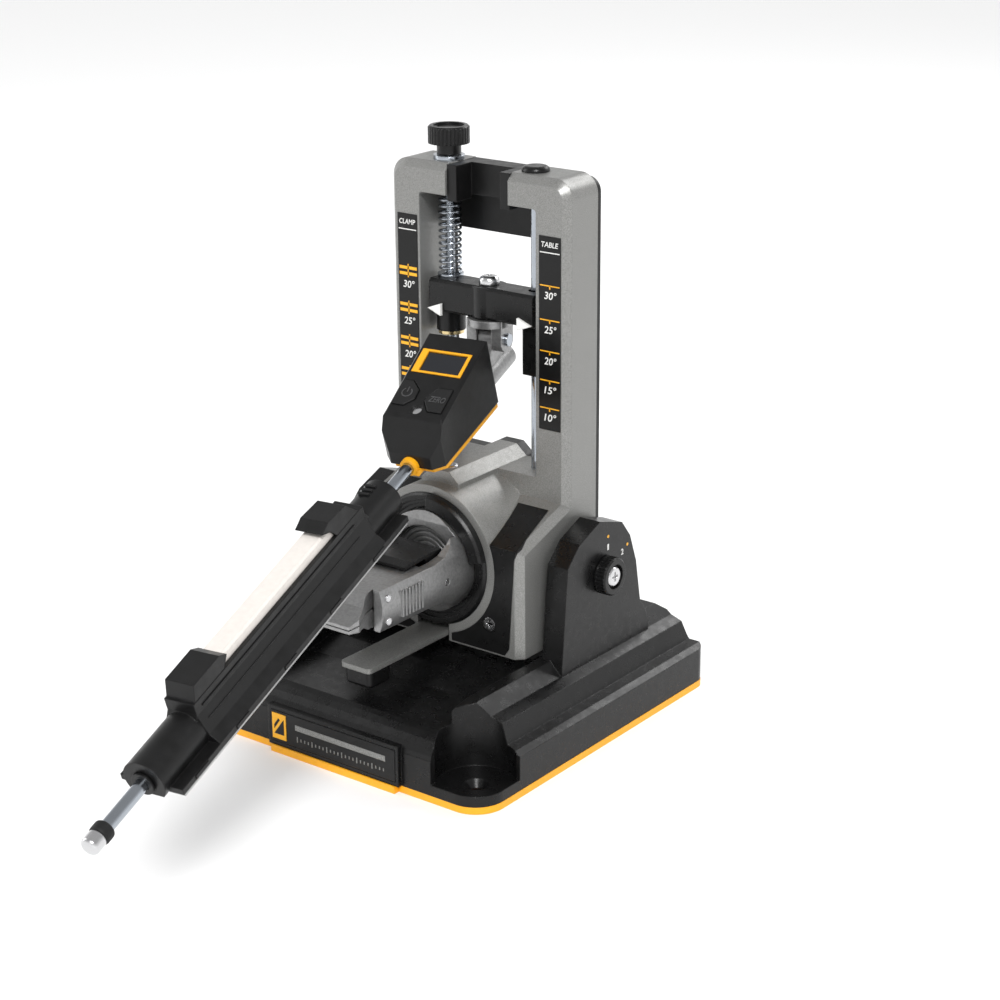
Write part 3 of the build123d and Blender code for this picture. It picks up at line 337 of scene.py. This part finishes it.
tile.piece("badge_wedge", "base", "badge_print")

# lock position marks on the right ear
EAR_FACE_X = 58.0
ear = plane_at((EAR_FACE_X * MM, 0, 0), (0, 1, 0), (0, 0, 1))    # x runs back, y up
ear_white, ear_yellow = Relief(ear), Relief(ear)
ear_white.text("1", 7.4, 75.4, 1.0, 2.6, slant=0)
ear_white.text("2", 17.7, 70.2, 1.7, 2.6, slant=0)
ear_yellow.arc(7.4, 80, 0.35, 0.7, 0, 360, 0.06, 10)
ear_yellow.arc(21.4, 72.4, 0.35, 0.7, 0, 360, 0.06, 10)
ear_white.piece("ear_numbers", "base", "white_print")
ear_yellow.piece("ear_dots", "base", "yellow_label")

# ------------------------------------------------------------------ gauge face
ROD_YAW, ROD_PITCH, GAUGE_WEDGE = (math.radians(v) for v in (8.63, 18.30, 15.2))
ROD_START = (0, 5.0 * MM, 140.8 * MM)
GAUGE_TOP_BACK = (0, -18.6 * MM, 29.0 * MM)      # back edge of the display face, from the rod's start
BUTTON_RISE = 0.6 * MM
rod_turn = Matrix.Rotation(ROD_YAW, 4, "Z") @ Matrix.Rotation(ROD_PITCH, 4, "X")
rod_frame = Matrix.Translation(ROD_START) @ rod_turn
gauge_face = rod_frame @ Matrix.Translation(GAUGE_TOP_BACK) @ Matrix.Rotation(GAUGE_WEDGE, 4, "X")
button_top = gauge_face @ Matrix.Translation((0, 0, BUTTON_RISE))
power = Relief(button_top)
power.arc(-7.5, -32.3, 2.1, 0.5, 125, 415, 0.12)
power.bar(-7.5, -30.8, 0.5, 2.6, high=0.12)
power.piece("power_sign", "power_button", "nylon_washer")
zero = Relief(button_top)
zero.text("ZERO", 6.9, -33.8, 7.2, 2.9, high=0.12)
zero.piece("zero_word", "zero_button", "nylon_washer")

# ------------------------------------------------------------------ stone holder details
holder = Relief(rod_frame)


def holder_box(x0, x1, y0, y1, z0, z1):
    """Box in the rod's frame: y runs back along the rod, z away from the plate."""
    corners = [(x, y) for x, y in ((x0, y0), (x1, y0), (x1, y1), (x0, y1))]
    holder.prism(corners, z0, z1)


PLATE_CLIPS = (-118, -150, -182, -214, -240)
for side in (-1, 1):
    for y in PLATE_CLIPS:
        holder_box(*sorted((side * 12.9, side * 13.35)), y - 4, y + 4, -4.6, -3.0)
    for inner, outer, z0, z1 in ((7.0, 7.75, 4.4, 4.9), (6.1, 6.6, 9.6, 10.2)):
        holder_box(*sorted((side * inner, side * outer)), -224, -120, z0, z1)
GRIP_RIBS = 3
for k in range(GRIP_RIBS):
    holder_box(-3.4, 1.2, -95.6 - 2.6 * k, -94.4 - 2.6 * k, 7.6, 9.0)
holder.piece("holder_ribs", "holder", "holder_plastic")


# ------------------------------------------------------------------ lead screw thread and lift spring
def ring_piece(name, rings, slot):
    """A closed tube through rings of points, each ring with the same number of points."""
    around = len(rings[0])
    verts = [tuple(Vector(p) * MM) for ring in rings for p in ring]
    faces = [list(range(around))[::-1], [(len(rings) - 1) * around + k for k in range(around)]]
    for row in range(len(rings) - 1):
        for k in range(around):
            a, b = row * around + k, row * around + (k + 1) % around
            faces.append([a, b, b + around, a + around])
    mesh = bpy.data.meshes.new(name)
    mesh.from_pydata(verts, [], faces)
    made = bpy.data.objects.new(name, mesh)
    bpy.context.scene.collection.objects.link(made)
    mesh.materials.append(materials[slot])
    mesh.shade_smooth()
    return made


def threaded_rod(node, pitch, depth, around=20, per_turn=4):
    low, high = box_mm(node)
    cx, cy, radius = (low.x + high.x) / 2, (low.y + high.y) / 2, (high.x - low.x) / 2
    rows = int((high.z - low.z) / pitch * per_turn)
    rings = []
    for row in range(rows + 1):
        z = low.z + (high.z - low.z) * row / rows
        ring = []
        for k in range(around):
            phase = (row / per_turn - k / around) % 1.0
            r = radius - depth * abs(2 * phase - 1)
            turn = 2 * math.pi * k / around
            ring.append((cx + r * math.cos(turn), cy + r * math.sin(turn), z))
        rings.append(ring)
    return ring_piece(node + "_thread", rings, "chrome_steel")


def coil_spring(node, turns, wire, steps=30, around=10):
    low, high = box_mm(node)
    cx, cy, radius = (low.x + high.x) / 2, (low.y + high.y) / 2, (high.x - low.x) / 2 - wire
    rise = high.z - low.z - 2 * wire
    rings = []
    for step in range(turns * steps + 1):
        turn = 2 * math.pi * step / steps
        ring = []
        for k in range(around):
            side = 2 * math.pi * k / around
            r = radius + wire * math.cos(side)
            z = low.z + wire + rise * step / (turns * steps) + wire * math.sin(side)
            ring.append((cx + r * math.cos(turn), cy + r * math.sin(turn), z))
        rings.append(ring)
    return ring_piece(node + "_coil", rings, "chrome_steel")


THREAD_PITCH = 0.75
SPRING_TURNS = 13
SPRING_WIRE = 0.5
thread = threaded_rod("lead_screw", THREAD_PITCH, 0.3)
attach(thread, "height_screw")
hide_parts("lead_screw")
spring = coil_spring("lift_spring", SPRING_TURNS, SPRING_WIRE)
low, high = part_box("lift_spring")
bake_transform(spring)
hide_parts("lift_spring")

# ------------------------------------------------------------------ stage, light and camera
def soft_light(name, spot, target, size, watts):
    light = bpy.data.lights.new(name, "AREA")
    light.shape = "RECTANGLE"
    light.size, light.size_y = size
    light.energy = watts
    rig = bpy.data.objects.new(name, light)
    rig.location = spot
    rig.rotation_euler = (Vector(target) - Vector(spot)).to_track_quat("-Z", "Y").to_euler()
    bpy.context.scene.collection.objects.link(rig)


floor_mesh = bpy.data.meshes.new("floor")
floor_mesh.from_pydata([(-6, -6, 0), (6, -6, 0), (6, 6, 0), (-6, 6, 0)], [], [(0, 1, 2, 3)])
floor = bpy.data.objects.new("floor", floor_mesh)
bpy.context.scene.collection.objects.link(floor)
floor.data.materials.append(Paint("studio_floor", (0.9, 0.9, 0.9), 0.6).mat)
world = bpy.data.worlds.new("studio")
world.use_nodes = True
sky = world.node_tree
direction = sky.nodes.new("ShaderNodeTexCoord")
split = sky.nodes.new("ShaderNodeSeparateXYZ")
fade = sky.nodes.new("ShaderNodeMapRange")
fade.inputs["From Min"].default_value = 0.12
fade.inputs["From Max"].default_value = 0.5
fade.inputs["To Min"].default_value = 1.0
fade.inputs["To Max"].default_value = 0.5
sky.links.new(direction.outputs["Generated"], split.inputs["Vector"])
sky.links.new(split.outputs["Z"], fade.inputs["Value"])
sky.links.new(fade.outputs["Result"], sky.nodes["Background"].inputs["Strength"])
sky.nodes["Background"].inputs["Color"].default_value = (1, 1, 1, 1)
bpy.context.scene.world = world
sun = bpy.data.lights.new("broad_key", "SUN")
sun.energy = 2.1
sun.angle = math.radians(24)
sun_rig = bpy.data.objects.new("broad_key", sun)
sun_rig.rotation_euler = Vector((-0.87, 1.05, -1.3)).to_track_quat("-Z", "Y").to_euler()
bpy.context.scene.collection.objects.link(sun_rig)
soft_light("key", (0.75, -0.95, 1.25), (0, -0.05, 0.1), (0.6, 0.6), 7)
soft_light("left_fill", (-1.3, -0.5, 0.7), (0, 0, 0.1), (0.6, 1.1), 6)
soft_light("back_rim", (0.2, 1.2, 1.0), (0, 0, 0.1), (1.2, 0.4), 8)

camera = bpy.data.objects.new("camera", bpy.data.cameras.new("camera"))
camera.data.sensor_width = 36
camera.data.lens = 80.8
camera.data.clip_start = 0.05
CAMERA_YAW, CAMERA_PITCH, CAMERA_ROLL = (math.radians(v) for v in (37.32, 19.74, -0.41))
camera.location = (0.54109, -0.69872, 0.40269)
camera.rotation_euler = (
    Matrix.Rotation(CAMERA_YAW, 4, "Z")
    @ Matrix.Rotation(math.pi / 2 - CAMERA_PITCH, 4, "X")
    @ Matrix.Rotation(CAMERA_ROLL, 4, "Z")
).to_euler()
bpy.context.scene.collection.objects.link(camera)
bpy.context.scene.camera = camera
bpy.context.scene.view_settings.view_transform = "Standard"
